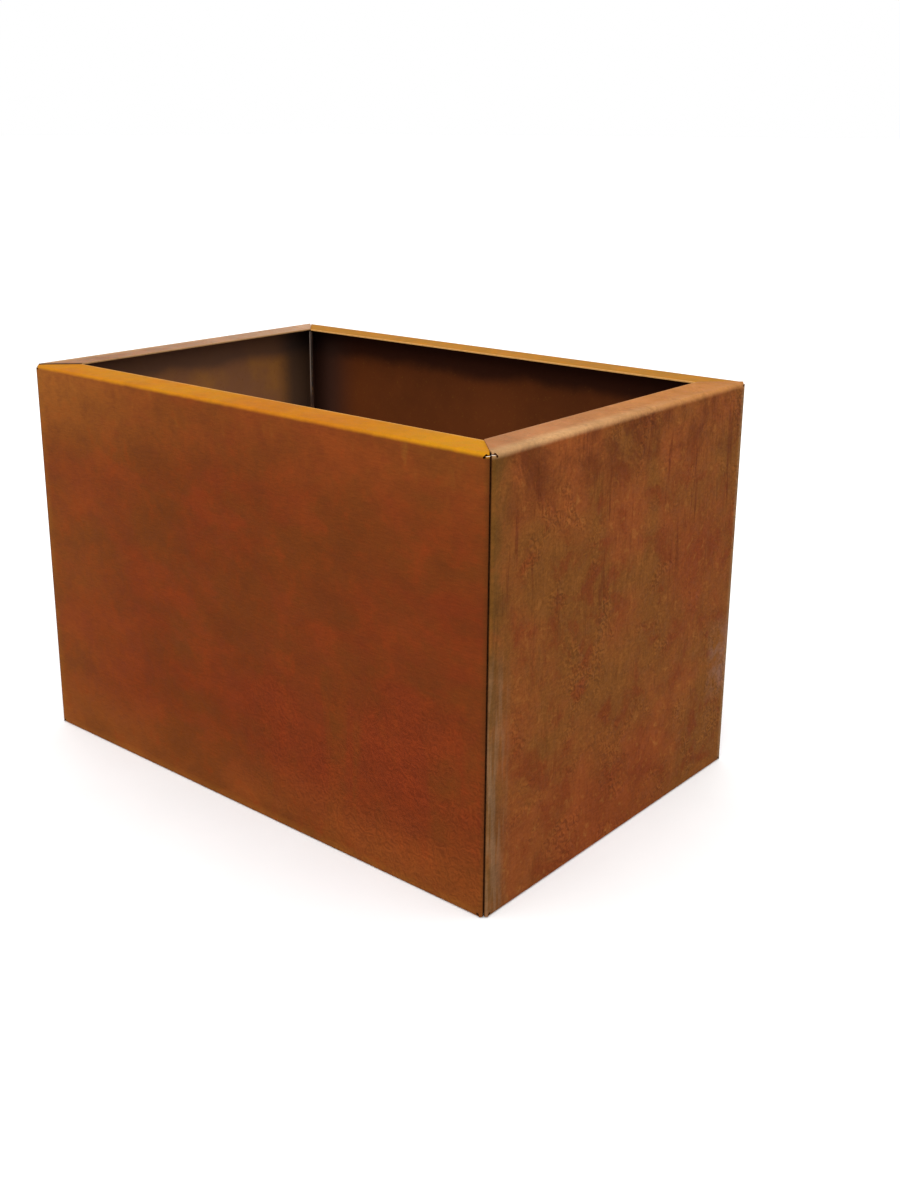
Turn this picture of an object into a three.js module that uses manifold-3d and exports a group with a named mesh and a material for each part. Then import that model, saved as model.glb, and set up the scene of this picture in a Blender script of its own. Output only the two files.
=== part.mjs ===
// Rectangular planter in folded weathering steel.
//
// Four folded panels stand on edge and bolt together at the corners. Each panel has a rim flange
// along its top and a foot flange along its bottom, both mitred, and a corner flange folded back
// along the diagonal at each end. Neighbouring corner flanges lie face to face, and three bolts,
// each with a nut and two washers, clamp each pair. A loose drained base plate lies on the foot
// flanges.
//
// Millimetres. +X runs along the long side, +Y towards the back and +Z up. The origin is on the
// floor under the middle of the planter.

import * as THREE from 'three';
import { mergeVertices } from 'three/addons/utils/BufferGeometryUtils.js';
import Module from 'manifold-3d';

const wasm = await Module();
wasm.setup();

// Overall size
const LENGTH = 600;
const WIDTH = 400;
const HEIGHT = 400;

// Folded sheet
const SHEET = 1.5;
const RIM_WIDTH = 35; // outer face of a wall to the free edge of its rim flange
const FOOT_WIDTH = 30; // outer face of a wall to the free edge of its foot flange
const EDGE_BEND = 3; // outside radius of the rim and foot bends
const CORNER_BEND = 2.25; // outside radius of the vertical bends
const CORNER_FLANGE = 42; // flat width of a corner flange
const CORNER_GAP = 0.4; // between two corner flanges
const MITRE_GAP = 0.5; // across each mitre
const RIM_STEP = 0.8; // the long panels' rims lie this far below the end panels' rims
const RELIEF_LEG = 8.5; // how far the corner relief runs along each edge from the corner
const RELIEF_PAST_BEND = 0.8; // how far it cuts past the rim bend and the foot bend
const RELIEF_RADIUS = 1.3; // drilled end of the relief
const FOLD_CLEARANCE = 0.3; // corner fold to the rim bend and to the foot bend

// Base plate
const BASE_THICKNESS = 2;
const BASE_CLEARANCE = 3; // to the walls and to the corner flanges
const BASE_GAP = 0.3; // to the foot flanges under it
const DRAIN_DIAMETER = 20;
const DRAINS_ALONG = 3;
const DRAINS_ACROSS = 2;

// Fasteners, M6
const BOLT_DIAMETER = 6;
const BOLT_LENGTH = 16; // under the head
const HEX_ACROSS_FLATS = 10;
const HEAD_HEIGHT = 4;
const NUT_HEIGHT = 5;
const WASHER_DIAMETER = 12;
const WASHER_THICKNESS = 1.6;
const BORE_CLEARANCE = 0.8; // on the diameter, in nuts and washers
const HOLE_CLEARANCE = 1; // on the diameter, in the corner flanges
const FASTENER_GAP = 0.3; // between faces that bear on each other
const TOP_BOLT_DROP = 115; // top bolt below the rim
const BOTTOM_BOLT_RISE = 60; // bottom bolt above the floor

// Facets
const BEND_STEPS = 6;
const HOLE_SIDES = 12;
const WASHER_SIDES = 16;
const DRAIN_SIDES = 24;

const CUT_MARGIN = 1; // how far a cutting solid runs past what it cuts
const SQRT2 = Math.SQRT2;
const QUARTER = Math.PI / 2;
const EIGHTH = Math.PI / 4;

// ---- materials -------------------------------------------------------------------------------

const rusted = (color) => new THREE.MeshStandardMaterial({ color, roughness: 0.75, metalness: 0.3 });
const longPanelMaterial = () => rusted(0x8a4520);
const endPanelMaterial = () => rusted(0x7c4a26);
const baseMaterial = () => rusted(0x4a2616);
const fastenerMaterial = () => new THREE.MeshStandardMaterial({
  color: 0x8d8c88,
  roughness: 0.4,
  metalness: 0.9,
});

// ---- solids ----------------------------------------------------------------------------------

function toSolid(geometry) {
  geometry.deleteAttribute('normal');
  geometry.deleteAttribute('uv');
  const merged = mergeVertices(geometry);
  return new wasm.Manifold(new wasm.Mesh({
    numProp: 3,
    vertProperties: merged.attributes.position.array,
    triVerts: new Uint32Array(merged.index.array),
  }));
}

function toGeometry(solid) {
  const { vertProperties, triVerts } = solid.getMesh();
  const geometry = new THREE.BufferGeometry();
  geometry.setAttribute('position', new THREE.BufferAttribute(vertProperties, 3));
  geometry.setIndex(new THREE.BufferAttribute(triVerts, 1));
  geometry.computeVertexNormals();
  return geometry;
}

const point = (x, y) => new THREE.Vector2(x, y);

// Points of an arc about (cx, cy) from one angle to another, both ends included.
function arc(cx, cy, radius, from, to) {
  return Array.from({ length: BEND_STEPS + 1 }, (_, i) => {
    const angle = from + ((to - from) * i) / BEND_STEPS;
    return point(cx + radius * Math.cos(angle), cy + radius * Math.sin(angle));
  });
}

// Corners of a regular polygon about the origin.
function polygon(sides, radius) {
  return Array.from({ length: sides }, (_, i) => {
    const angle = (2 * Math.PI * i) / sides;
    return point(radius * Math.cos(angle), radius * Math.sin(angle));
  });
}

function extrude(outline, depth, holes = []) {
  const shape = new THREE.Shape(outline);
  shape.holes = holes.map((hole) => new THREE.Path(hole));
  return new THREE.ExtrudeGeometry(shape, { depth, bevelEnabled: false });
}

// A solid whose outline is given in plan and which stands from z = low to z = high.
function upright(outline, low, high) {
  return toSolid(extrude(outline, high - low).translate(0, 0, low));
}

// A solid whose outline is given as (y, z) and which lies along X, centred on x = 0.
function lyingAlongX(outline, length) {
  const turn = new THREE.Matrix4().makeBasis(
    new THREE.Vector3(0, 1, 0),
    new THREE.Vector3(0, 0, 1),
    new THREE.Vector3(1, 0, 0),
  );
  return toSolid(extrude(outline, length).applyMatrix4(turn).translate(-length / 2, 0, 0));
}

// ---- panels ----------------------------------------------------------------------------------
// A panel is drawn with its outer face on y = 0, facing -Y, and its length centred on x = 0.
// At each end the drawing is the same, mirrored, so an end is drawn once, at +X: `corner` is
// the x of the sharp corner there, and the corner's diagonal runs from it towards -X, +Y.

// Along the wall from the sharp corner to where the vertical bend begins.
const bendStart = CORNER_BEND * (1 + SQRT2) + CORNER_GAP / SQRT2;

// Along the diagonal from the sharp corner to the two ends of the flat of a corner flange.
const flangeStart = (bendStart + CORNER_BEND) / SQRT2;
const flangeEnd = flangeStart + CORNER_FLANGE;
const boltInset = (flangeStart + flangeEnd) / 2;

// Down from the rim, and up from the floor, to the ends of a corner fold and of a relief.
const foldDepth = EDGE_BEND + FOLD_CLEARANCE;
const reliefDepth = EDGE_BEND + RELIEF_PAST_BEND;

const boltLevels = {
  bottom: BOTTOM_BOLT_RISE,
  middle: (BOTTOM_BOLT_RISE + HEIGHT - TOP_BOLT_DROP) / 2,
  top: HEIGHT - TOP_BOLT_DROP,
};

// Wall, rim flange and foot flange as one folded section, (y, z).
function wallSection(height) {
  const low = EDGE_BEND;
  const high = height - EDGE_BEND;
  const inside = EDGE_BEND - SHEET;
  return [
    point(FOOT_WIDTH, 0),
    point(FOOT_WIDTH, SHEET),
    ...arc(EDGE_BEND, low, inside, 3 * QUARTER, 2 * QUARTER),
    ...arc(EDGE_BEND, high, inside, 2 * QUARTER, QUARTER),
    point(RIM_WIDTH, height - SHEET),
    point(RIM_WIDTH, height),
    ...arc(EDGE_BEND, high, EDGE_BEND, QUARTER, 2 * QUARTER),
    ...arc(EDGE_BEND, low, EDGE_BEND, 2 * QUARTER, 3 * QUARTER),
  ];
}

// Vertical bend and corner flange, in plan, with a lap of wall that they join on.
function cornerFold(corner) {
  const cx = corner - bendStart;
  const lap = cx - CORNER_BEND;
  const run = CORNER_FLANGE / SQRT2;
  const outside = arc(cx, CORNER_BEND, CORNER_BEND, -QUARTER, EIGHTH);
  const inside = arc(cx, CORNER_BEND, CORNER_BEND - SHEET, EIGHTH, -QUARTER);
  const bendEnd = outside[BEND_STEPS];
  return [
    point(lap, 0),
    ...outside,
    point(bendEnd.x - run, bendEnd.y + run),
    point(inside[0].x - run, inside[0].y + run),
    ...inside,
    point(lap, SHEET),
  ];
}

// All that lies past the mitre, in plan.
function pastMitre(corner) {
  const reach = RIM_WIDTH + FOOT_WIDTH;
  const line = corner - MITRE_GAP / SQRT2;
  return [
    point(line + CUT_MARGIN, -CUT_MARGIN),
    point(corner + reach, -CUT_MARGIN),
    point(corner + reach, reach),
    point(line - reach, reach),
  ];
}

// The length of wall that the vertical bend takes the place of, in plan.
function pastBendStart(corner) {
  return [
    point(corner - bendStart, -CUT_MARGIN),
    point(corner + CUT_MARGIN, -CUT_MARGIN),
    point(corner + CUT_MARGIN, EDGE_BEND),
    point(corner - bendStart, EDGE_BEND),
  ];
}

// The tip that the relief takes off the rim or the foot, in plan.
function reliefTip(corner) {
  return [
    point(corner - RELIEF_LEG - CUT_MARGIN, -CUT_MARGIN),
    point(corner + CUT_MARGIN, -CUT_MARGIN),
    point(corner + CUT_MARGIN, RELIEF_LEG + CUT_MARGIN),
  ];
}

// A round bar through the wall at the end of a relief.
function reliefDrill(x, z) {
  const bar = new THREE.CylinderGeometry(RELIEF_RADIUS, RELIEF_RADIUS, 2 * EDGE_BEND, HOLE_SIDES);
  return toSolid(bar.translate(x, 0, z));
}

// A round bar through a corner flange, square to it. `side` is 1 at +X and -1 at -X.
function boltDrill(side, corner, level) {
  const radius = (BOLT_DIAMETER + HOLE_CLEARANCE) / 2;
  const inset = boltInset / SQRT2;
  const bar = new THREE.CylinderGeometry(radius, radius, CORNER_FLANGE / 2, HOLE_SIDES);
  bar.rotateZ(-side * EIGHTH);
  return toSolid(bar.translate(side * (corner - inset), inset, level));
}

function panelGeometry(length, height) {
  const corner = length / 2;
  const below = -CUT_MARGIN;
  const above = height + CUT_MARGIN;
  let panel = lyingAlongX(wallSection(height), length);
  for (const side of [1, -1]) {
    const at = (outline) => outline(corner).map(({ x, y }) => point(side * x, y));
    const drillX = side * (corner - RELIEF_LEG);
    panel = panel
      .subtract(upright(at(pastMitre), below, above))
      .subtract(upright(at(pastBendStart), foldDepth, height - foldDepth))
      .add(upright(at(cornerFold), foldDepth, height - foldDepth))
      .subtract(upright(at(reliefTip), height - reliefDepth, above))
      .subtract(upright(at(reliefTip), below, reliefDepth))
      .subtract(reliefDrill(drillX, height - reliefDepth + RELIEF_RADIUS / 2))
      .subtract(reliefDrill(drillX, reliefDepth - RELIEF_RADIUS / 2));
    for (const level of Object.values(boltLevels)) {
      panel = panel.subtract(boltDrill(side, corner, level));
    }
  }
  return toGeometry(panel);
}

function panels() {
  const group = new THREE.Group();
  const place = (name, geometry, material, x, y, turn) => {
    const mesh = new THREE.Mesh(geometry, material);
    mesh.name = name;
    mesh.position.set(x, y, 0);
    mesh.rotation.z = turn;
    group.add(mesh);
  };
  const long = panelGeometry(LENGTH, HEIGHT - RIM_STEP);
  const end = panelGeometry(WIDTH, HEIGHT);
  place('front_panel', long, longPanelMaterial(), 0, -WIDTH / 2, 0);
  place('back_panel', long, longPanelMaterial(), 0, WIDTH / 2, Math.PI);
  place('right_panel', end, endPanelMaterial(), LENGTH / 2, 0, QUARTER);
  place('left_panel', end, endPanelMaterial(), -LENGTH / 2, 0, -QUARTER);
  return group;
}

// ---- base plate ------------------------------------------------------------------------------

// A drained plate with its corners cut off square to the diagonals, clear of the corner flanges.
function basePlate() {
  const x = LENGTH / 2 - SHEET - BASE_CLEARANCE;
  const y = WIDTH / 2 - SHEET - BASE_CLEARANCE;
  const cut = (flangeEnd + BASE_CLEARANCE) * SQRT2 - 2 * (SHEET + BASE_CLEARANCE);
  const outline = [
    point(x - cut, -y), point(x, cut - y), point(x, y - cut), point(x - cut, y),
    point(cut - x, y), point(-x, y - cut), point(-x, cut - y), point(cut - x, -y),
  ];
  const hole = polygon(DRAIN_SIDES, DRAIN_DIAMETER / 2);
  const holes = [];
  for (let i = 0; i < DRAINS_ALONG; i++) {
    for (let j = 0; j < DRAINS_ACROSS; j++) {
      const hx = (2 * x * (i + 0.5)) / DRAINS_ALONG - x;
      const hy = (2 * y * (j + 0.5)) / DRAINS_ACROSS - y;
      holes.push(hole.map((p) => point(p.x + hx, p.y + hy)));
    }
  }
  const mesh = new THREE.Mesh(extrude(outline, BASE_THICKNESS, holes), baseMaterial());
  mesh.name = 'base_plate';
  mesh.position.z = SHEET + BASE_GAP;
  return mesh;
}

// ---- fasteners -------------------------------------------------------------------------------
// A corner is drawn with its sharp corner at the origin, its diagonal along +Y and its bolts
// along X, heads at +X. The two corner flanges lie either side of x = 0.

const hexagon = polygon(6, HEX_ACROSS_FLATS / Math.sqrt(3));
const bore = polygon(HOLE_SIDES, (BOLT_DIAMETER + BORE_CLEARANCE) / 2);
const facingX = (geometry) => geometry.rotateY(QUARTER); // an extrusion along Z, turned to X

const washerStart = SHEET + CORNER_GAP / 2 + FASTENER_GAP;
const headStart = washerStart + WASHER_THICKNESS + FASTENER_GAP;

function boltGeometry() {
  const head = extrude(hexagon, HEAD_HEIGHT).translate(0, 0, headStart);
  const overlap = HEAD_HEIGHT / 2;
  const shank = extrude(polygon(HOLE_SIDES, BOLT_DIAMETER / 2), BOLT_LENGTH + overlap)
    .translate(0, 0, headStart - BOLT_LENGTH);
  return facingX(toGeometry(toSolid(head).add(toSolid(shank))));
}

function washerGeometry(start) {
  const ring = extrude(polygon(WASHER_SIDES, WASHER_DIAMETER / 2), WASHER_THICKNESS, [bore]);
  return facingX(ring.translate(0, 0, start));
}

function nutGeometry() {
  const nut = extrude(hexagon, NUT_HEIGHT, [bore]);
  return facingX(nut.translate(0, 0, -headStart - NUT_HEIGHT));
}

function fasteners() {
  const group = new THREE.Group();
  const pieces = {
    bolt: boltGeometry(),
    head_washer: washerGeometry(washerStart),
    nut_washer: washerGeometry(-washerStart - WASHER_THICKNESS),
    nut: nutGeometry(),
  };
  const corners = {
    front_right: { x: 1, y: -1, turn: EIGHTH },
    back_right: { x: 1, y: 1, turn: 3 * EIGHTH },
    back_left: { x: -1, y: 1, turn: -3 * EIGHTH },
    front_left: { x: -1, y: -1, turn: -EIGHTH },
  };
  for (const [cornerName, { x, y, turn }] of Object.entries(corners)) {
    const corner = new THREE.Group();
    corner.position.set((x * LENGTH) / 2, (y * WIDTH) / 2, 0);
    corner.rotation.z = turn;
    for (const [levelName, level] of Object.entries(boltLevels)) {
      for (const [pieceName, geometry] of Object.entries(pieces)) {
        const mesh = new THREE.Mesh(geometry, fastenerMaterial());
        mesh.name = `${pieceName}_${cornerName}_${levelName}`;
        mesh.position.set(0, boltInset, level);
        corner.add(mesh);
      }
    }
    group.add(corner);
  }
  return group;
}

// ---- planter ---------------------------------------------------------------------------------

const planter = new THREE.Group();
planter.add(panels());
planter.add(basePlate());
planter.add(fasteners());

export default planter;
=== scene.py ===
"""A folded weathering-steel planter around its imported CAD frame. Lengths are in metres."""
import math

import bmesh
import bpy
from mathutils import Matrix, Vector, noise


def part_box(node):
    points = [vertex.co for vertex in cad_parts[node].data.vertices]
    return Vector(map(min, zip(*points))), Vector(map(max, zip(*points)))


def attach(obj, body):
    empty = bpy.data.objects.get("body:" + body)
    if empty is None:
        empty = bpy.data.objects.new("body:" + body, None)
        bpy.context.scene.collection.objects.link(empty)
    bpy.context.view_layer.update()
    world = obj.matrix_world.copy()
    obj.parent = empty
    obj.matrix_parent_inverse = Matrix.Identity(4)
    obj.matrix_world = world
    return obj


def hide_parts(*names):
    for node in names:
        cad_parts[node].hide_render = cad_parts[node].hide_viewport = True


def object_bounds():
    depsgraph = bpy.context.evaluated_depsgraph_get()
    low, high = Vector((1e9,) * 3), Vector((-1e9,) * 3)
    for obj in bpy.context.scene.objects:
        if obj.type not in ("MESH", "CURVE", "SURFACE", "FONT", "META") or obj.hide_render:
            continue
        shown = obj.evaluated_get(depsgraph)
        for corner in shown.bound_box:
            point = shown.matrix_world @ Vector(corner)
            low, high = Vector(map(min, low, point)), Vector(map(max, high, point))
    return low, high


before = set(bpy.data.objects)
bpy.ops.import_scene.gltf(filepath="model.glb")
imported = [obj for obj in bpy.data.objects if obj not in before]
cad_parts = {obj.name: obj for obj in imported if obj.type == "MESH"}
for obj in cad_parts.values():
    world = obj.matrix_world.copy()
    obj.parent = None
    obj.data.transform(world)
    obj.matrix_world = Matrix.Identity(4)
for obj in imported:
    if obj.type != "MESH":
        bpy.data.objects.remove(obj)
cad_low, cad_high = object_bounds()
MM = 0.001

# The planter's own sizes
HALF_LENGTH = cad_high[0]
HALF_WIDTH = cad_high[1]
HEIGHT = cad_high[2]
LONG_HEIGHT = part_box("front_panel")[1][2]
SHEET = 1.5 * MM
RIM_WIDTH = 35 * MM
FOOT_WIDTH = 30 * MM
EDGE_BEND = 3 * MM
CORNER_BEND = 2.25 * MM
CORNER_FLANGE = 42 * MM
CORNER_GAP = 0.4 * MM
MITRE_GAP = 0.15 * MM
RELIEF_LEG = 7.4 * MM
RELIEF_DEPTH = 3.8 * MM
RELIEF_RADIUS = 1.0 * MM
BEND_UNDER_RIM = 2.2 * MM
BEND_OVER_FLOOR = 1.0 * MM
BOLT_HOLE = 7 * MM
SOFT_EDGE = 0.25 * MM
DISH_DEPTH = 0.35 * MM
DISH_FADE = 50 * MM
WAVES_PER_METRE = 4.5

ROOT2 = math.sqrt(2)
BEND_START = CORNER_BEND * (1 + ROOT2) + CORNER_GAP / ROOT2


# ---- camera, light and floor -------------------------------------------------------------------

CAMERA_PLACE = (0.9076, -0.9797, 0.6376)
CAMERA_TURN = (40.89, 16.33, 0.10)  # degrees round from -Y, looking down, and roll
CAMERA_LENS = 40.506
CAMERA_SHIFT = (0.02208, -0.06683)
FLOOR_REACH = 60


def make_camera():
    """A view from the front right, from above the rim."""
    azimuth, elevation, roll = map(math.radians, CAMERA_TURN)
    data = bpy.data.cameras.new("camera")
    data.sensor_width = 36
    data.lens = CAMERA_LENS
    data.shift_x, data.shift_y = CAMERA_SHIFT
    camera = bpy.data.objects.new("camera", data)
    turn = Matrix.Rotation(azimuth, 4, "Z") @ Matrix.Rotation(math.pi / 2 - elevation, 4, "X")
    camera.matrix_world = Matrix.Translation(CAMERA_PLACE) @ turn @ Matrix.Rotation(roll, 4, "Z")
    bpy.context.collection.objects.link(camera)
    bpy.context.scene.camera = camera


def make_soft_sun(name, azimuth, elevation, strength, spread):
    """A broad soft light from far away. Azimuth 0 comes from -Y and 90 from +X."""
    data = bpy.data.lights.new(name, "SUN")
    data.energy = strength
    data.angle = math.radians(spread)
    light = bpy.data.objects.new(name, data)
    turn = Matrix.Rotation(math.radians(azimuth), 4, "Z")
    light.matrix_world = turn @ Matrix.Rotation(math.radians(90 - elevation), 4, "X")
    bpy.context.collection.objects.link(light)


def make_lighting():
    """A white studio with two broad lights, so that the floor and the background stay pale."""
    world = bpy.data.worlds.new("studio")
    world.use_nodes = True
    world.node_tree.nodes["Background"].inputs["Color"].default_value = (1, 1, 1, 1)
    world.node_tree.nodes["Background"].inputs["Strength"].default_value = 1.0
    bpy.context.scene.world = world
    make_soft_sun("key", azimuth=30, elevation=42, strength=1.3, spread=50)
    make_soft_sun("overhead", azimuth=0, elevation=88, strength=0.7, spread=70)


def make_floor():
    """A plain pale floor that reaches out of sight."""
    mesh = bpy.data.meshes.new("floor")
    far = FLOOR_REACH
    corners = [(-far, -far, 0), (far, -far, 0), (far, far, 0), (-far, far, 0)]
    mesh.from_pydata(corners, [], [(0, 1, 2, 3)])
    floor = bpy.data.objects.new("floor", mesh)
    n = Nodes("pale_floor")
    tone = n.ramp(n.noise(6.0), 0.3, 0.7, 0.90, 0.92)
    mesh.materials.append(n.finish(n.mix(tone, BLACK, WHITE), 0.9))
    bpy.context.collection.objects.link(floor)


# ---- folded panels -----------------------------------------------------------------------------
# A panel is drawn with its outer face on y = 0, facing -Y, and its length centred on x = 0.

OUTSIDE, INSIDE, CUT_EDGE, SEAM = range(4)
SEAM_DEPTH = 2.2 * MM
FOOT_STEPS = 4
BEND_STEPS = 10
RIM_STEPS = 5
FOLD_STEPS = 12
FLANGE_STEPS = 6
DRILL_SIDES = 24
GRID = 10 * MM
SOFTEN_FROM = 50  # degrees
SOFTEN_FASTENERS_FROM = 40
SMOOTH_BELOW = 35
SLIGHT_TILT = 0.3  # of a unit normal


def steps(start, stop, count):
    """count values after start, up to and including stop, evenly spaced."""
    return [start + (stop - start) * (i + 1) / count for i in range(count)]


def section_rows(height):
    """Points up the outer surface, foot edge to rim edge: (y, z, inward y, inward z)."""
    rows = [(FOOT_WIDTH, 0.0, 0.0, 1.0)]
    rows += [(y, 0.0, 0.0, 1.0) for y in steps(FOOT_WIDTH, EDGE_BEND, FOOT_STEPS)]
    low, high = EDGE_BEND, height - EDGE_BEND
    for angle in steps(1.5 * math.pi, math.pi, BEND_STEPS):
        c, s = math.cos(angle), math.sin(angle)
        rows.append((EDGE_BEND * (1 + c), low + EDGE_BEND * s, -c, -s))
    count = round((height - 2 * RELIEF_DEPTH) / GRID)
    rows.append((0.0, RELIEF_DEPTH, 1.0, 0.0))
    rows += [(0.0, z, 1.0, 0.0) for z in steps(RELIEF_DEPTH, height - RELIEF_DEPTH, count)]
    rows.append((0.0, high, 1.0, 0.0))
    for angle in steps(math.pi, 0.5 * math.pi, BEND_STEPS):
        c, s = math.cos(angle), math.sin(angle)
        rows.append((EDGE_BEND * (1 + c), high + EDGE_BEND * s, -c, -s))
    rows += [(y, height, 0.0, -1.0) for y in steps(EDGE_BEND, RIM_WIDTH, RIM_STEPS)]
    return rows


def fold_columns(corner):
    """Points round a corner fold, from the relief to the flange's edge: (x, y, inward x, y)."""
    cx, cy = corner - BEND_START, CORNER_BEND
    columns = [(cx, 0.0, 0.0, 1.0)]
    for angle in steps(-math.pi / 2, math.pi / 4, FOLD_STEPS):
        c, s = math.cos(angle), math.sin(angle)
        columns.append((cx + CORNER_BEND * c, cy + CORNER_BEND * s, -c, -s))
    x, y, nx, ny = columns[-1]
    for run in steps(0, CORNER_FLANGE / ROOT2, FLANGE_STEPS):
        columns.append((x - run, y + run, nx, ny))
    return columns


def sheet_waviness(x, z, seed):
    """How far the flat of a wall is dished inwards there."""
    wave = noise.noise(Vector((x * WAVES_PER_METRE, z * WAVES_PER_METRE, seed)))
    return DISH_DEPTH * (0.5 + 0.5 * wave)


def folded_panel(name, length, height, seed):
    """A closed thin shell: outer skin, inner skin and cut edges.

    A grid makes the wall, the rim and the foot. Strips at its two ends make the corner folds, whose
    bends run on past the reliefs, nearly to the rim and the floor.
    """
    corner = length / 2
    rows = section_rows(height)
    columns = 2 * round(length / GRID / 2)
    flat_high = height - RELIEF_DEPTH
    outer, inner, quads = [], [], []

    def add(x, y, z, inward):
        outer.append((x, y, z))
        inner.append(tuple(p + SHEET * n for p, n in zip((x, y, z), inward)))
        return len(outer) - 1

    def add_strips(strips):
        for a, b in zip(strips, strips[1:]):
            quads.extend(zip(a, a[1:], b[1:], b))

    grid = []
    for y, z, ny, nz in rows:
        reach = min(corner - RELIEF_LEG + y, corner - MITRE_GAP / ROOT2 - y)
        line = []
        for j in range(columns + 1):
            x = reach * (2 * j / columns - 1)
            edge = min(z - EDGE_BEND, height - EDGE_BEND - z, corner - abs(x))
            fade = max(0.0, min(1.0, edge / DISH_FADE)) if ny == 1.0 else 0.0
            line.append(add(x, y + fade * sheet_waviness(x, z, seed), z, (0.0, ny, nz)))
        grid.append(line)
    add_strips(grid)

    finish = [OUTSIDE] * len(quads)
    tall = [i for i, r in enumerate(rows) if r[2] == 1.0 and RELIEF_DEPTH <= r[1] <= flat_high]
    for side, edge in ((1, -1), (-1, 0)):
        strips = [[grid[i][edge] for i in tall]]
        low_bend, high_bend = [], []
        for j, (x, y, nx, ny) in enumerate(fold_columns(corner)):
            inward = (side * nx, ny, 0.0)
            strips.append([add(side * x, y, rows[i][1], inward) for i in tall])
            if j <= FOLD_STEPS:
                low_bend.append([add(side * x, y, BEND_OVER_FLOOR, inward), strips[-1][0]])
                high_bend.append([strips[-1][-1], add(side * x, y, height - BEND_UNDER_RIM, inward)])
        before = len(quads)
        for strip in (strips, low_bend, high_bend):
            add_strips(strip)
        if side == 1:
            quads[before:] = [q[::-1] for q in quads[before:]]
        # The deep side of each fold gets the seam material, a painted shade.
        for q in quads[before:]:
            depth = sum(outer[v][1] for v in q) / 4
            finish.append(SEAM if depth > SEAM_DEPTH else OUTSIDE)

    count = len(outer)
    faces = list(quads) + [tuple(v + count for v in q[::-1]) for q in quads]
    finish += [INSIDE] * len(quads)
    sides = {pair for q in quads for pair in zip(q, q[1:] + q[:1])}
    for a, b in sorted(sides):
        if (b, a) not in sides:
            faces.append((b, a, a + count, b + count))
            finish.append(CUT_EDGE)
    mesh = bpy.data.meshes.new(name)
    mesh.from_pydata(outer + inner, [], faces)
    mesh.polygons.foreach_set("material_index", finish)
    mesh.validate()
    mesh.update()
    return mesh


def cutter_mesh(name, length, height, levels):
    """Round bars where the reliefs end and where the bolts go through the corner flanges."""
    corner = length / 2
    inset = flange_middle() / ROOT2
    bm = bmesh.new()

    def bar(radius, reach, place):
        made = bmesh.ops.create_cone(
            bm, cap_ends=True, segments=DRILL_SIDES, radius1=radius, radius2=radius, depth=reach
        )
        bmesh.ops.transform(bm, matrix=place, verts=made["verts"])

    for side in (1, -1):
        for z in (height - RELIEF_DEPTH + RELIEF_RADIUS / 2, RELIEF_DEPTH - RELIEF_RADIUS / 2):
            upright = Matrix.Rotation(math.pi / 2, 4, "X")
            place = Matrix.Translation((side * (corner - RELIEF_LEG), 0, z)) @ upright
            bar(RELIEF_RADIUS, 2 * EDGE_BEND, place)
        for z in levels:
            turn = Matrix.Rotation(-side * math.pi / 4, 4, "Z") @ Matrix.Rotation(math.pi / 2, 4, "X")
            place = Matrix.Translation((side * (corner - inset), inset, z)) @ turn
            bar(BOLT_HOLE / 2, CORNER_FLANGE / 2, place)
    for face in bm.faces:
        face.material_index = CUT_EDGE
    mesh = bpy.data.meshes.new(name)
    bm.to_mesh(mesh)
    bm.free()
    return mesh


def flange_middle():
    """From the sharp corner to the middle of a corner flange, along the diagonal."""
    return (BEND_START + CORNER_BEND) / ROOT2 + CORNER_FLANGE / 2


def bolt_levels():
    """Heights of the bolts' axes, from the CAD bolts."""
    boxes = [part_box(f"bolt_front_right_{level}") for level in ("bottom", "middle", "top")]
    return [(low[2] + high[2]) / 2 for low, high in boxes]


def apply_modifiers(obj):
    """Replaces an object's mesh with what its modifiers make of it."""
    bpy.context.view_layer.update()
    evaluated = obj.evaluated_get(bpy.context.evaluated_depsgraph_get())
    mesh = bpy.data.meshes.new_from_object(evaluated)
    obj.modifiers.clear()
    obj.data = mesh


def soften_edges(obj, from_angle):
    """A small round on every edge that turns by more than from_angle degrees."""
    bevel = obj.modifiers.new("softened_edges", "BEVEL")
    bevel.width = SOFT_EDGE
    bevel.segments = 2
    bevel.limit_method = "ANGLE"
    bevel.angle_limit = math.radians(from_angle)


def dull_hidden_cuts(mesh, corner, height):
    """Only the rim's long edge, the tops of the corner bends and the flanges' edges stay cut edges.

    The rim's mitres rust like the outside, and every other cut gets the seam's painted shade.
    """
    for face in mesh.polygons:
        if face.material_index != CUT_EDGE:
            continue
        x, y, z = (abs(v) for v in face.normal)
        on_rim = face.center.z > height - SHEET - 0.3 * MM
        diagonal = z < SLIGHT_TILT and abs(x - y) < SLIGHT_TILT
        long_edge = on_rim and x < SLIGHT_TILT
        bend_top = face.normal.z > 0.5 and abs(face.center.x) > corner - BEND_START
        if on_rim and diagonal:
            face.material_index = OUTSIDE
        elif not (bend_top or long_edge or diagonal):
            face.material_index = SEAM


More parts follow.
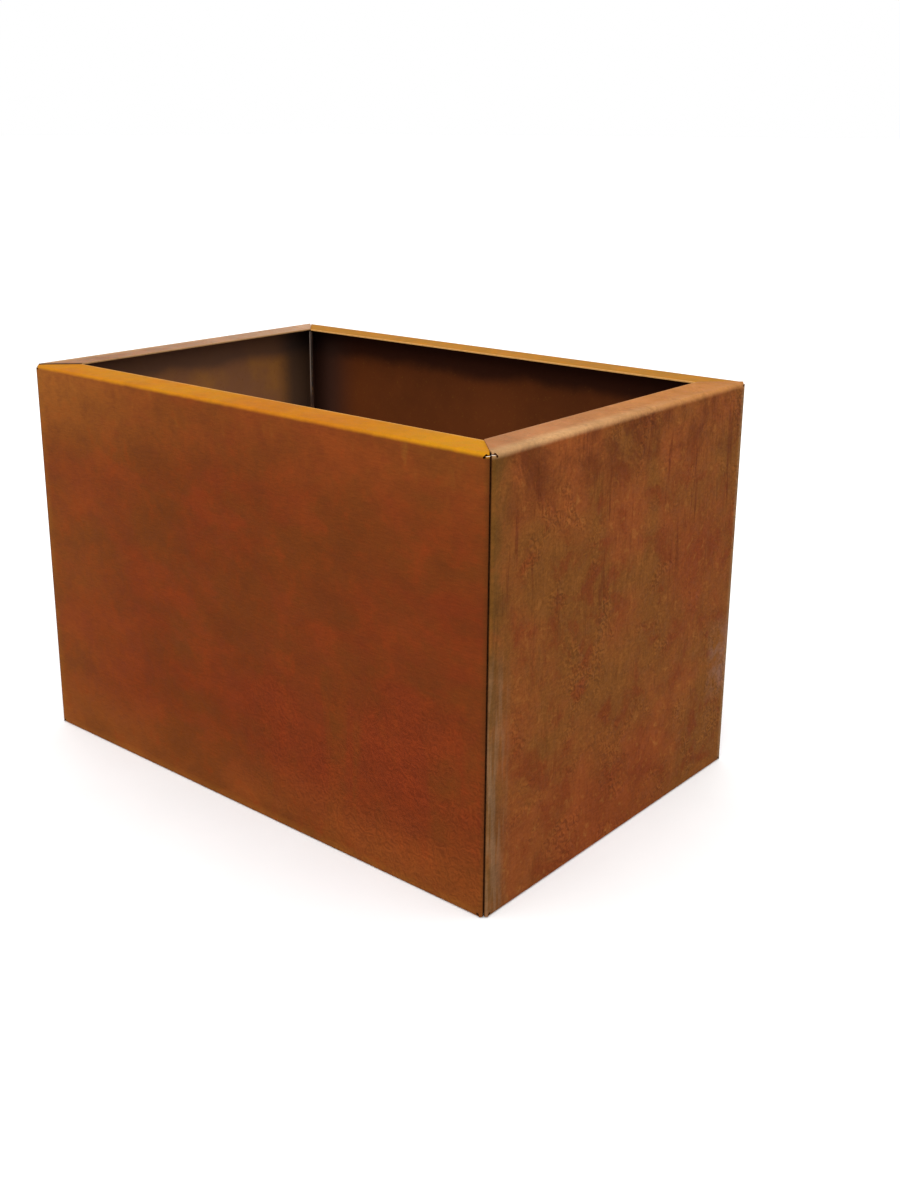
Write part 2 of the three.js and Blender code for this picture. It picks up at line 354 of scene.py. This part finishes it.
def make_panel(name, node, length, height, place, finishes, seed):
    """One folded panel, drilled, with its cut edges softened."""
    obj = bpy.data.objects.new(name, folded_panel(name, length, height, seed))
    bpy.context.collection.objects.link(obj)
    for finish in finishes:
        obj.data.materials.append(finish)
    cutter = bpy.data.objects.new("cutter", cutter_mesh("cutter", length, height, bolt_levels()))
    bpy.context.collection.objects.link(cutter)
    drill = obj.modifiers.new("drill", "BOOLEAN")
    drill.operation = "DIFFERENCE"
    drill.solver = "EXACT"
    drill.object = cutter
    apply_modifiers(obj)
    bpy.data.objects.remove(cutter)
    soften_edges(obj, SOFTEN_FROM)
    apply_modifiers(obj)
    dull_hidden_cuts(obj.data, length / 2, height)
    obj.data.transform(place)
    obj.data.shade_smooth()
    obj.data.set_sharp_from_angle(angle=math.radians(SMOOTH_BELOW))
    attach(obj, "root")
    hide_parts(node)
    return obj


# ---- materials ---------------------------------------------------------------------------------

def srgb(r, g, b):
    """A display colour, 0 to 255, as a linear colour."""
    return tuple(
        (v / 12.92 if v <= 0.04045 else ((v + 0.055) / 1.055) ** 2.4)
        for v in (r / 255, g / 255, b / 255)
    ) + (1.0,)


class Nodes:
    """A short way to write a material's node tree. Every pattern lies in the planter's own metres."""

    def __init__(self, name):
        self.material = bpy.data.materials.new(name)
        self.material.use_nodes = True
        self.tree = self.material.node_tree
        self.shader = self.tree.nodes["Principled BSDF"]
        self.place = self.tree.nodes.new("ShaderNodeTexCoord").outputs["Object"]

    def link(self, value, socket):
        if isinstance(value, bpy.types.NodeSocket):
            self.tree.links.new(value, socket)
        else:
            socket.default_value = value

    def scaled(self, scale, offset=(0, 0, 0), turn=(0, 0, 0)):
        """The place, turned by degrees about each axis, scaled and shifted."""
        node = self.tree.nodes.new("ShaderNodeMapping")
        self.tree.links.new(self.place, node.inputs["Vector"])
        node.inputs["Scale"].default_value = scale
        node.inputs["Location"].default_value = offset
        node.inputs["Rotation"].default_value = [math.radians(angle) for angle in turn]
        return node.outputs["Vector"]

    def noise(self, scale, detail=4.0, rough=0.55, vector=None, distortion=0.0):
        node = self.tree.nodes.new("ShaderNodeTexNoise")
        self.tree.links.new(vector or self.place, node.inputs["Vector"])
        node.inputs["Scale"].default_value = scale
        node.inputs["Detail"].default_value = detail
        node.inputs["Roughness"].default_value = rough
        node.inputs["Distortion"].default_value = distortion
        return node.outputs["Fac"]

    def ramp(self, value, low, high, to_low=0.0, to_high=1.0):
        """Eases from to_low to to_high as the value goes from low to high. High may be the lower."""
        node = self.tree.nodes.new("ShaderNodeMapRange")
        node.interpolation_type = "SMOOTHSTEP"
        self.link(value, node.inputs["Value"])
        node.inputs["From Min"].default_value = low
        node.inputs["From Max"].default_value = high
        node.inputs["To Min"].default_value = to_low
        node.inputs["To Max"].default_value = to_high
        return node.outputs["Result"]

    def math(self, operation, a, b=0.0):
        node = self.tree.nodes.new("ShaderNodeMath")
        node.operation = operation
        self.link(a, node.inputs[0])
        self.link(b, node.inputs[1])
        return node.outputs[0]

    def plus(self, a, b):
        return self.math("ADD", a, b)

    def minus(self, a, b):
        return self.math("SUBTRACT", a, b)

    def times(self, product, *others):
        for other in others:
            product = self.math("MULTIPLY", product, other)
        return product

    def magnitude(self, value):
        """The value without its sign."""
        return self.math("ABSOLUTE", value)

    def mix(self, factor, a, b, blend="MIX"):
        node = self.tree.nodes.new("ShaderNodeMix")
        node.data_type = "RGBA"
        node.blend_type = blend
        self.link(factor, node.inputs["Factor"])
        self.link(a, node.inputs["A"])
        self.link(b, node.inputs["B"])
        return node.outputs["Result"]

    def coat(self, colour, amount, over):
        """The colour with a surface colour laid over it, as much as amount says."""
        return self.mix(amount, colour, srgb(*over))

    def axes(self):
        node = self.tree.nodes.new("ShaderNodeSeparateXYZ")
        self.tree.links.new(self.place, node.inputs[0])
        return node.outputs

    def bump(self, height, distance, strength=1.0, normal=None):
        node = self.tree.nodes.new("ShaderNodeBump")
        node.inputs["Strength"].default_value = strength
        node.inputs["Distance"].default_value = distance
        self.tree.links.new(height, node.inputs["Height"])
        if normal is not None:
            self.tree.links.new(normal, node.inputs["Normal"])
        return node.outputs["Normal"]

    def finish(self, colour, roughness, normal=None):
        self.link(colour, self.shader.inputs["Base Color"])
        self.link(roughness, self.shader.inputs["Roughness"])
        if normal is not None:
            self.link(normal, self.shader.inputs["Normal"])
        return self.material


BLACK = srgb(0, 0, 0)
MID_GREY = (0.5, 0.5, 0.5, 1)
WHITE = srgb(255, 255, 255)

# Surface colours as (red, green, blue), 0 to 255
LONG_OLIVE = (97, 47, 15)
LONG_RED = (103, 42, 15)
LONG_ORANGE = (128, 73, 27)
LONG_DEEP_RED = (104, 39, 16)
LONG_RED_FLECK = (114, 45, 16)
LONG_BROWN = (90, 44, 15)
BEND_SHADE_BROWN = (80, 42, 15)
OCHRE = (126, 80, 28)
GOLD = (174, 114, 18)
GOLD_YELLOW = (184, 126, 16)
GOLD_PALE = (155, 105, 35)
GOLD_DEEP = (170, 100, 20)
GOLD_EDGE_HIGHLIGHT = (216, 160, 90)
END_OLIVE = (106, 62, 23)
END_ORANGE = (112, 57, 23)
END_RED = (110, 49, 18)
END_BROWN = (86, 43, 16)
END_LIGHT = (130, 80, 38)
DRIP_RED = (84, 36, 14)
OLIVE = (90, 60, 22)
GREY_PINK = (118, 90, 66)
FAR_TAN = (124, 78, 42)
FAR_GREY_SHEEN = (126, 112, 82)
LILAC = (128, 94, 78)
ROSE = (159, 109, 70)
ROSE_ORANGE = (168, 110, 54)
ROSE_GREY = (142, 108, 84)
ROSE_PALE = (166, 136, 110)
ROSE_DEEP = (150, 92, 56)
CREAM = (178, 142, 98)
TAN_EDGE_HIGHLIGHT = (176, 132, 86)
BARE_STEEL_GLINT = (250, 240, 226)
GREY_EDGE = (112, 98, 88)
BLACK_EDGE = (30, 18, 12)
DARK_EDGE = (58, 36, 26)
SEAM_DARK = (52, 27, 10)
SEAM_BROWN = (74, 40, 16)
STEEL_DARK = (118, 114, 108)
STEEL_LIGHT = (156, 152, 146)
STEEL_STAIN = (104, 62, 34)

# How the rust's marks are drawn, in metres
SPECULAR_RUST = 0.03
SPECULAR_CUT = 0.3
FINE_RELIEF = 0.25 * MM
FLAKE_RELIEF = 1.2 * MM
INSIDE_RELIEF = 0.3 * MM
CUT_RELIEF = 0.1 * MM
BRUSHED_RELIEF = 0.05 * MM
RIM_FADE_LONG = 4.6 * MM
RIM_FADE_END = 6.5 * MM


def matt(name, specular=SPECULAR_RUST):
    """A new material that hardly shines. Set on the shader itself, as it is the same all over."""
    n = Nodes(name)
    n.shader.inputs["Specular IOR Level"].default_value = specular
    return n


def rim_mask(n, top, across, half, fade):
    """1 on the rim's flat top, 0 further than fade below it; and 1 along the rim's inner edge, for a
    pale line that is partly wear and partly a painted highlight.
    """
    z = n.axes()["Z"]
    wander = n.times(n.minus(n.noise(70.0), 0.5), 1.6 * MM)
    on_top = n.ramp(n.plus(z, wander), top - fade, top - 0.8 * MM)
    inset = n.minus(half, n.magnitude(across))
    inner = n.ramp(inset, RIM_WIDTH - 2.2 * MM, RIM_WIDTH - 0.6 * MM)
    return on_top, n.times(inner, on_top)


def grain(n, scale, turn):
    """Short strokes along a panel, a little off level."""
    wide, high = scale
    return n.noise(1.0, 4.0, 0.6, n.scaled((wide, wide, high), turn=turn), 0.6)


def emboss(n, scale, shift, distortion):
    """Painted light and shade: the lit and dark sides of small curled flakes, about 0.5 on the flat;
    and their height.
    """
    here = n.noise(scale, 2.0, 0.5, distortion=distortion)
    moved = n.noise(scale, 2.0, 0.5, n.scaled((1, 1, 1), shift), distortion)
    return n.plus(n.times(n.minus(here, moved), 1.6), 0.5), here


def streaks(n, wide, high, offset, low, high_end):
    """Marks that run down a wall: narrow across it, long down it."""
    return n.ramp(n.noise(1.0, 3.0, 0.55, n.scaled((wide, wide, high), (offset,) * 3)), low, high_end)


def fine_shade(n, strokes, tooth, stroke_range, tooth_range):
    """The light and dark of the grain and of the steel's tooth, to multiply a colour by."""
    return n.times(n.ramp(strokes, 0.25, 0.75, *stroke_range), n.ramp(tooth, 0.25, 0.75, *tooth_range))


def long_wall(n, broad, patch, mottle, low_right):
    """Red brown, with painted light making it lighter to the left and the top, and slanting red streaks
    low on the right.
    """
    x, _, z = n.axes()
    colour = n.mix(n.ramp(broad, 0.36, 0.64), srgb(*LONG_OLIVE), srgb(*LONG_RED))
    colour = n.coat(colour, n.ramp(patch, 0.50, 0.66, 0.0, 0.40), LONG_RED_FLECK)
    colour = n.coat(colour, n.ramp(patch, 0.46, 0.34, 0.0, 0.35), LONG_BROWN)

    # Painted light: a lighter orange coat towards the left and the top.
    from_left = n.ramp(x, -HALF_LENGTH / 6, -HALF_LENGTH)
    from_top = n.ramp(z, 0.75 * HEIGHT, HEIGHT)
    painted_light = n.plus(n.times(from_left, 0.25), n.times(from_top, 0.30))
    painted_light = n.plus(painted_light, n.times(from_left, from_top, 0.5))
    colour = n.coat(colour, n.times(painted_light, n.ramp(mottle, 0.2, 0.7, 0.5, 1.1)), LONG_ORANGE)

    bands = n.noise(1.0, 3.0, 0.55, n.scaled((34, 34, 6), turn=(0, 24, 0)), 0.5)
    colour = n.coat(colour, n.times(low_right, n.ramp(bands, 0.44, 0.60, 0.0, 0.65)), LONG_DEEP_RED)
    near_top = n.ramp(z, HEIGHT - 45 * MM, HEIGHT - 15 * MM)
    drips = n.times(streaks(n, 50, 20, 2.0, 0.56, 0.80), near_top)
    colour = n.coat(colour, n.times(drips, 0.5), OCHRE)

    end = n.ramp(x, 18 * MM - HALF_LENGTH, 4 * MM - HALF_LENGTH, 0.0, 0.4)
    colour = n.coat(colour, n.times(end, n.ramp(mottle, 0.3, 0.6, 0.3, 1.0)), OCHRE)
    # Painted shade: darker brown over the last few millimetres, where the wall turns into the corner
    # fold.
    bend_shade = n.ramp(n.magnitude(x), HALF_LENGTH - 8 * MM, HALF_LENGTH - 2 * MM, 0.0, 0.8)
    colour = n.coat(colour, bend_shade, BEND_SHADE_BROWN)
    low = n.times(n.ramp(z, 85 * MM, 0.0), n.ramp(broad, 0.35, 0.6, 0.15, 0.45))
    colour = n.coat(colour, low, LONG_ORANGE)
    hem = n.times(n.ramp(z, 12 * MM, 2 * MM), n.ramp(mottle, 0.3, 0.6, 0.1, 0.4))
    colour = n.coat(colour, hem, OCHRE)
    return n.coat(colour, n.ramp(mottle, 0.52, 0.74, 0.0, 0.40), LONG_RED_FLECK)


def long_rim(n, broad, strokes, edge):
    """Golden orange, yellower to the right on the front panel and paler on the back panel. The patina
    is yellower than the wall's, and its much lighter colour is also painted light for the light that
    falls on the flat top.
    """
    x, y, _ = n.axes()
    rim = n.mix(n.ramp(broad, 0.35, 0.65), srgb(*GOLD), srgb(*GOLD_DEEP))
    rim = n.coat(rim, n.ramp(x, 80 * MM, HALF_LENGTH, 0.0, 0.8), GOLD_YELLOW)
    rim = n.coat(rim, n.ramp(y, -HALF_WIDTH / 2, HALF_WIDTH / 2), GOLD_PALE)
    rim = n.coat(rim, n.ramp(strokes, 0.45, 0.7, 0.0, 0.5), GOLD_DEEP)
    # The pale inner edge: partly wear, partly a painted highlight.
    return n.coat(rim, n.times(edge, 0.6), GOLD_EDGE_HIGHLIGHT)


def long_panel_rust():
    n = matt("long_panel_rust")
    x, y, z = n.axes()
    broad = n.noise(8.0, 5.0, 0.62, n.scaled((1, 1, 1.6)), 0.3)
    patch = n.noise(17.0, 5.0, 0.62, n.scaled((1, 1, 1.7), (0.2, 0.1, 0.6)), 0.25)
    mottle = n.noise(52.0, 5.0, 0.68, distortion=0.3)
    strokes = grain(n, (110, 650), (0, 8, 0))
    tooth = n.noise(1100.0, 2.0, 0.6)
    low_right = n.times(
        n.ramp(x, -HALF_LENGTH / 6, 0.4 * HALF_LENGTH), n.ramp(z, 0.6 * HEIGHT, 0.25 * HEIGHT)
    )

    colour = long_wall(n, broad, patch, mottle, low_right)
    top, edge = rim_mask(n, LONG_HEIGHT, y, HALF_WIDTH, RIM_FADE_LONG)
    colour = n.mix(top, colour, long_rim(n, broad, strokes, edge))

    flakes, _ = emboss(n, 130.0, (0.0008, 0.0008, 0.0016), 2.0)
    rough_low = n.times(low_right, n.ramp(broad, 0.4, 0.6, 0.3, 1.0))
    # Painted light and shade on the sides of the flakes.
    flake_shading = n.mix(n.times(rough_low, 0.6), MID_GREY, flakes)
    tone = n.times(n.ramp(patch, 0.3, 0.7, 0.96, 1.04), n.ramp(mottle, 0.3, 0.7, 0.95, 1.05))
    fine = fine_shade(n, strokes, tooth, (0.91, 1.08), (0.93, 1.07))
    shade = n.times(fine, n.ramp(flake_shading, 0.3, 0.7, 0.84, 1.16), tone)
    colour = n.mix(1.0, colour, shade, "MULTIPLY")

    relief = n.plus(n.times(strokes, 0.7), n.times(tooth, 0.3))
    return n.finish(colour, n.ramp(mottle, 0.3, 0.7, 0.66, 0.86), n.bump(relief, FINE_RELIEF, 0.7))


def end_wall(n, broad, patch, mottle):
    """Olive brown and orange, red in the middle, greyed and olive beside the front corner, tan with a
    painted grey sheen at the far corner.
    """
    _, y, z = n.axes()
    colour = n.mix(n.ramp(broad, 0.38, 0.62), srgb(*END_OLIVE), srgb(*END_ORANGE))
    low_middle = n.times(
        n.ramp(n.magnitude(y), 0.65 * HALF_WIDTH, 0.15 * HALF_WIDTH),
        n.ramp(z, 0.4 * HEIGHT, 0.1 * HEIGHT),
    )
    colour = n.coat(colour, n.times(low_middle, 0.6), END_RED)
    colour = n.coat(colour, n.ramp(patch, 0.50, 0.66, 0.0, 0.7), END_RED)
    mid_height = n.ramp(n.magnitude(n.minus(z, 230 * MM)), 100 * MM, 30 * MM)
    red_middle = n.times(n.ramp(y, 20 * MM, 120 * MM), mid_height)
    colour = n.coat(colour, n.times(red_middle, n.ramp(broad, 0.3, 0.6, 0.2, 0.6)), END_RED)
    colour = n.coat(colour, n.ramp(mottle, 0.52, 0.76, 0.0, 0.7), END_LIGHT)
    drips = n.times(streaks(n, 95, 9, 7.0, 0.58, 0.68), n.ramp(z, 170 * MM, 280 * MM))
    colour = n.coat(colour, n.times(drips, 0.6), DRIP_RED)
    near_top = n.ramp(z, HEIGHT - 75 * MM, HEIGHT - 25 * MM)
    colour = n.coat(colour, n.times(near_top, n.ramp(patch, 0.40, 0.62), 0.6), END_BROWN)

    near = n.ramp(y, 38 * MM - HALF_WIDTH, 2 * MM - HALF_WIDTH)
    colour = n.coat(colour, n.times(near, n.ramp(patch, 0.3, 0.6, 0.35, 0.85)), OLIVE)
    weathered = n.ramp(streaks(n, 150, 14, 3.0, 0.36, 0.66), 0, 1, 0.12, 0.64)
    colour = n.coat(colour, n.times(near, n.ramp(z, 250 * MM, 190 * MM), weathered), GREY_PINK)

    far = n.ramp(y, HALF_WIDTH - 14 * MM, HALF_WIDTH - 5 * MM)
    colour = n.coat(colour, n.times(far, 0.5), FAR_TAN)
    # Painted sheen: grey on the far corner's fold.
    far_bend_sheen = n.ramp(y, HALF_WIDTH - 12 * MM, HALF_WIDTH - 3 * MM)
    colour = n.coat(colour, n.times(far_bend_sheen, n.ramp(mottle, 0.3, 0.6, 0.3, 0.7)), FAR_GREY_SHEEN)
    low = n.ramp(n.magnitude(n.minus(z, 120 * MM)), 50 * MM, 15 * MM)
    bloom = n.times(n.ramp(y, HALF_WIDTH - 50 * MM, HALF_WIDTH - 28 * MM), low)
    return n.coat(colour, n.times(bloom, n.ramp(patch, 0.38, 0.58, 0.0, 0.55)), LILAC)


def end_rim(n, strokes, edge):
    """Rose to orange on the right panel, grey rose on the left, with painted shade along the left
    mitre's joint in front.
    """
    x, y, _ = n.axes()
    # Rose patina, painted much lighter than the wall: partly its own paler colour, partly painted light
    # for the light on the flat top.
    rim = n.mix(n.ramp(y, -0.75 * HALF_WIDTH, 0.6 * HALF_WIDTH), srgb(*ROSE), srgb(*ROSE_ORANGE))
    left_rim = n.mix(n.ramp(y, -HALF_WIDTH, HALF_WIDTH), srgb(*ROSE_GREY), srgb(*ROSE_PALE))
    rim = n.mix(n.ramp(x, HALF_LENGTH / 3, -HALF_LENGTH / 3), rim, left_rim)
    rim = n.coat(rim, n.ramp(strokes, 0.38, 0.70, 0.0, 0.7), ROSE_DEEP)
    inset = n.minus(HALF_LENGTH, n.magnitude(x))
    nearer = n.ramp(y, 0.75 * HALF_WIDTH, -0.75 * HALF_WIDTH, 0.1, 0.6)
    rim = n.coat(rim, n.times(n.ramp(inset, 16 * MM, 4 * MM), nearer), CREAM)
    # The pale inner edge: partly wear, partly a painted highlight.
    rim = n.coat(rim, n.times(edge, n.ramp(x, -HALF_LENGTH / 3, HALF_LENGTH / 3, 0.5, 0.1)), CREAM)
    # Painted shade: a dark line along the left mitre's joint, near the front.
    past_mitre = n.minus(n.minus(HALF_WIDTH, n.magnitude(y)), inset)
    inner_corner = 2 * RIM_WIDTH - HALF_LENGTH - HALF_WIDTH
    front_left = n.ramp(n.plus(x, y), inner_corner + 30 * MM, inner_corner)
    painted_shade_marks = n.times(n.ramp(past_mitre, 7 * MM, 2 * MM), front_left)
    return n.coat(rim, n.times(painted_shade_marks, 0.75), DARK_EDGE)


def end_panel_rust():
    n = matt("end_panel_rust")
    x, y, _ = n.axes()
    broad = n.noise(9.0, 5.0, 0.6, distortion=0.3)
    patch = n.noise(26.0, 5.0, 0.62, distortion=0.5)
    mottle = n.noise(90.0, 5.0, 0.65, distortion=0.6)
    tooth = n.noise(1200.0, 2.0, 0.6)
    strokes = grain(n, (260, 420), (12, 0, 0))

    colour = end_wall(n, broad, patch, mottle)
    top, edge = rim_mask(n, HEIGHT, x, HALF_LENGTH, RIM_FADE_END)
    colour = n.mix(top, colour, end_rim(n, strokes, edge))

    scatter = n.noise(15.0, 4.0, 0.6, n.scaled((1, 1, 1), (0.7, 0.3, 0.1)), 0.6)
    clear = n.ramp(y, 46 * MM - HALF_WIDTH, 20 * MM - HALF_WIDTH, 1.0, 0.15)
    clusters = n.times(n.ramp(scatter, 0.50, 0.66, 0.10, 1.0), clear)
    flakes, height = emboss(n, 170.0, (0.0004, 0.0009, 0.0013), 0.8)
    # Painted light and shade on the sides of the flakes.
    flake_shading = n.mix(n.times(clusters, n.ramp(top, 0, 1, 1.0, 0.3)), MID_GREY, flakes)
    tone = n.times(n.ramp(broad, 0.3, 0.7, 0.93, 1.07), n.ramp(patch, 0.3, 0.7, 1.12, 0.88))
    fine = fine_shade(n, strokes, tooth, (0.86, 1.12), (0.94, 1.06))
    shade = n.times(fine, n.ramp(flake_shading, 0.3, 0.7, 0.78, 1.22), tone)
    colour = n.mix(1.0, colour, shade, "MULTIPLY")
    combed = n.ramp(n.noise(1.0, 3.0, 0.6, n.scaled((330, 330, 38)), 0.8), 0.3, 0.7, 0.86, 1.14)
    combed = n.mix(n.ramp(scatter, 0.52, 0.40, 0.0, 0.8), WHITE, combed)
    colour = n.mix(1.0, colour, combed, "MULTIPLY")

    relief = n.plus(n.times(strokes, 0.6), n.times(tooth, 0.25))
    normal = n.bump(relief, FINE_RELIEF, 0.7)
    normal = n.bump(n.times(height, clusters), FLAKE_RELIEF, 0.6, normal)
    return n.finish(colour, n.ramp(mottle, 0.3, 0.7, 0.62, 0.84), normal)


def inside_rust(name, body, warm, fleck, rim_shadow_colour, corner_shade_colour):
    """Thinner rust, with painted shadow close under the rim and painted shade, greyer and darker,
    beside the corner flanges.
    """
    n = matt(name)
    x, y, z = n.axes()
    broad = n.noise(9.0, 4.0, 0.6)
    mottle = n.noise(75.0, 5.0, 0.65)
    specks = n.noise(420.0, 3.0, 0.7)
    colour = n.mix(n.ramp(broad, 0.35, 0.65), srgb(*body), srgb(*warm))
    colour = n.coat(colour, n.ramp(mottle, 0.55, 0.8, 0.0, 0.6), fleck)
    colour = n.coat(colour, n.ramp(specks, 0.60, 0.74, 0.0, 0.8), OCHRE)

    wander = n.times(n.minus(n.noise(16.0), 0.5), 24 * MM)
    rim_shadow_mask = n.ramp(n.plus(z, wander), HEIGHT - 44 * MM, HEIGHT - 26 * MM)
    near_end = n.ramp(n.magnitude(x), HALF_LENGTH - 86 * MM, HALF_LENGTH - 30 * MM)
    near_side = n.ramp(n.magnitude(y), HALF_WIDTH - 66 * MM, HALF_WIDTH - 32 * MM)
    # Painted shadow: darker close under the rim's overhang.
    colour = n.coat(colour, n.times(rim_shadow_mask, 0.85), rim_shadow_colour)
    # Painted shade: greyer and darker beside the corner flanges.
    colour = n.coat(colour, n.times(near_end, near_side, 0.85), corner_shade_colour)
    return n.finish(colour, n.ramp(mottle, 0.3, 0.7, 0.55, 0.8), n.bump(mottle, INSIDE_RELIEF, 0.6))


def cut_edge(name, top, rim_colour, low_colour):
    """Sheared sheet: the rim's edge; bare steel, made near white as a painted glint, on the tops of the
    bends; and the flanges' edges.
    """
    n = matt(name, SPECULAR_CUT)
    wear = n.noise(260.0, 4.0, 0.6)
    z = n.axes()["Z"]
    colour = n.mix(n.ramp(z, HEIGHT - 88 * MM, HEIGHT - 70 * MM), srgb(*DARK_EDGE), srgb(*low_colour))
    # Painted glint: the up-facing tops of the corner bends in near-white bare steel.
    colour = n.coat(colour, n.ramp(z, top - 3.5 * MM, top - 3.1 * MM), BARE_STEEL_GLINT)
    # The rim's cut edge: pale, partly wear and partly a painted highlight.
    colour = n.coat(colour, n.ramp(z, top - 2.0 * MM, top - 1.7 * MM), rim_colour)
    colour = n.coat(colour, n.ramp(wear, 0.45, 0.75, 0.0, 0.4), OCHRE)
    return n.finish(colour, n.ramp(wear, 0.3, 0.7, 0.45, 0.7), n.bump(wear, CUT_RELIEF, 0.5))


def seam_shadow():
    """Painted shade on the deep side of a corner fold and on the hidden cuts: dark brown where shade
    falls.
    """
    n = matt("seam_painted_shade")
    painted_shade_marks = n.noise(300.0, 4.0, 0.6)
    colour = n.mix(n.ramp(painted_shade_marks, 0.35, 0.7), srgb(*SEAM_DARK), srgb(*SEAM_BROWN))
    return n.finish(colour, n.ramp(painted_shade_marks, 0.3, 0.7, 0.7, 0.9), n.bump(painted_shade_marks, CUT_RELIEF, 0.5))


def stainless():
    """Dull brushed steel with rust stains."""
    n = Nodes("stainless_fasteners")
    n.shader.inputs["Metallic"].default_value = 1.0
    brushed = n.noise(500.0, 3.0, 0.6, n.scaled((1, 1, 6)))
    stain = n.noise(130.0, 4.0, 0.6)
    colour = n.mix(n.ramp(brushed, 0.3, 0.7), srgb(*STEEL_DARK), srgb(*STEEL_LIGHT))
    colour = n.coat(colour, n.ramp(stain, 0.46, 0.66, 0.0, 0.8), STEEL_STAIN)
    return n.finish(colour, n.ramp(brushed, 0.3, 0.7, 0.34, 0.52), n.bump(brushed, BRUSHED_RELIEF, 0.4))


# ---- planter -----------------------------------------------------------------------------------

make_camera()
make_lighting()
make_floor()

# Inside colours: body, warm, fleck, painted shadow under the rim, painted shade beside the corner
# flanges
LONG_INSIDE = (94, 48, 22), (106, 54, 24), (116, 62, 28), (50, 25, 18), (64, 42, 35)
END_INSIDE = (146, 98, 66), (176, 116, 56), (148, 98, 56), (108, 78, 62), (70, 56, 50)
BASE_INSIDE = (84, 44, 24), (104, 54, 28), (120, 70, 36), (60, 34, 20), (72, 44, 28)

# A panel's materials, in the order of OUTSIDE, INSIDE, CUT_EDGE and SEAM
seam = seam_shadow()
long_finishes = (
    long_panel_rust(),
    inside_rust("long_panel_inside", *LONG_INSIDE),
    cut_edge("long_panel_cut_edge", LONG_HEIGHT, GOLD_EDGE_HIGHLIGHT, BLACK_EDGE),
    seam,
)
end_finishes = (
    end_panel_rust(),
    inside_rust("end_panel_inside", *END_INSIDE),
    cut_edge("end_panel_cut_edge", HEIGHT, TAN_EDGE_HIGHLIGHT, GREY_EDGE),
    seam,
)

long_run, end_run = 2 * HALF_LENGTH, 2 * HALF_WIDTH
PANELS = (
    ("front_panel", 0, (0, -HALF_WIDTH, 0), long_run, LONG_HEIGHT, long_finishes),
    ("back_panel", 180, (0, HALF_WIDTH, 0), long_run, LONG_HEIGHT, long_finishes),
    ("right_panel", 90, (HALF_LENGTH, 0, 0), end_run, HEIGHT, end_finishes),
    ("left_panel", -90, (-HALF_LENGTH, 0, 0), end_run, HEIGHT, end_finishes),
)
SEED_STEP = 3.7
for i, (node, degrees, spot, run, tall, finishes) in enumerate(PANELS):
    turn = Matrix.Rotation(math.radians(degrees), 4, "Z")
    exact_turn = Matrix([[round(v) for v in row] for row in turn])
    place = Matrix.Translation(spot) @ exact_turn
    piece = make_panel("folded_" + node, node, run, tall, place, finishes, SEED_STEP * i)

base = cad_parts["base_plate"]
base.data.materials.clear()
base.data.materials.append(inside_rust("base_plate_rust", *BASE_INSIDE))

steel = stainless()
for name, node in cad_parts.items():
    if name.split("_")[0] in ("bolt", "nut", "head"):
        node.data.materials.clear()
        node.data.materials.append(steel)
        soften_edges(node, SOFTEN_FASTENERS_FROM)

bpy.context.scene.view_settings.view_transform = "Standard"
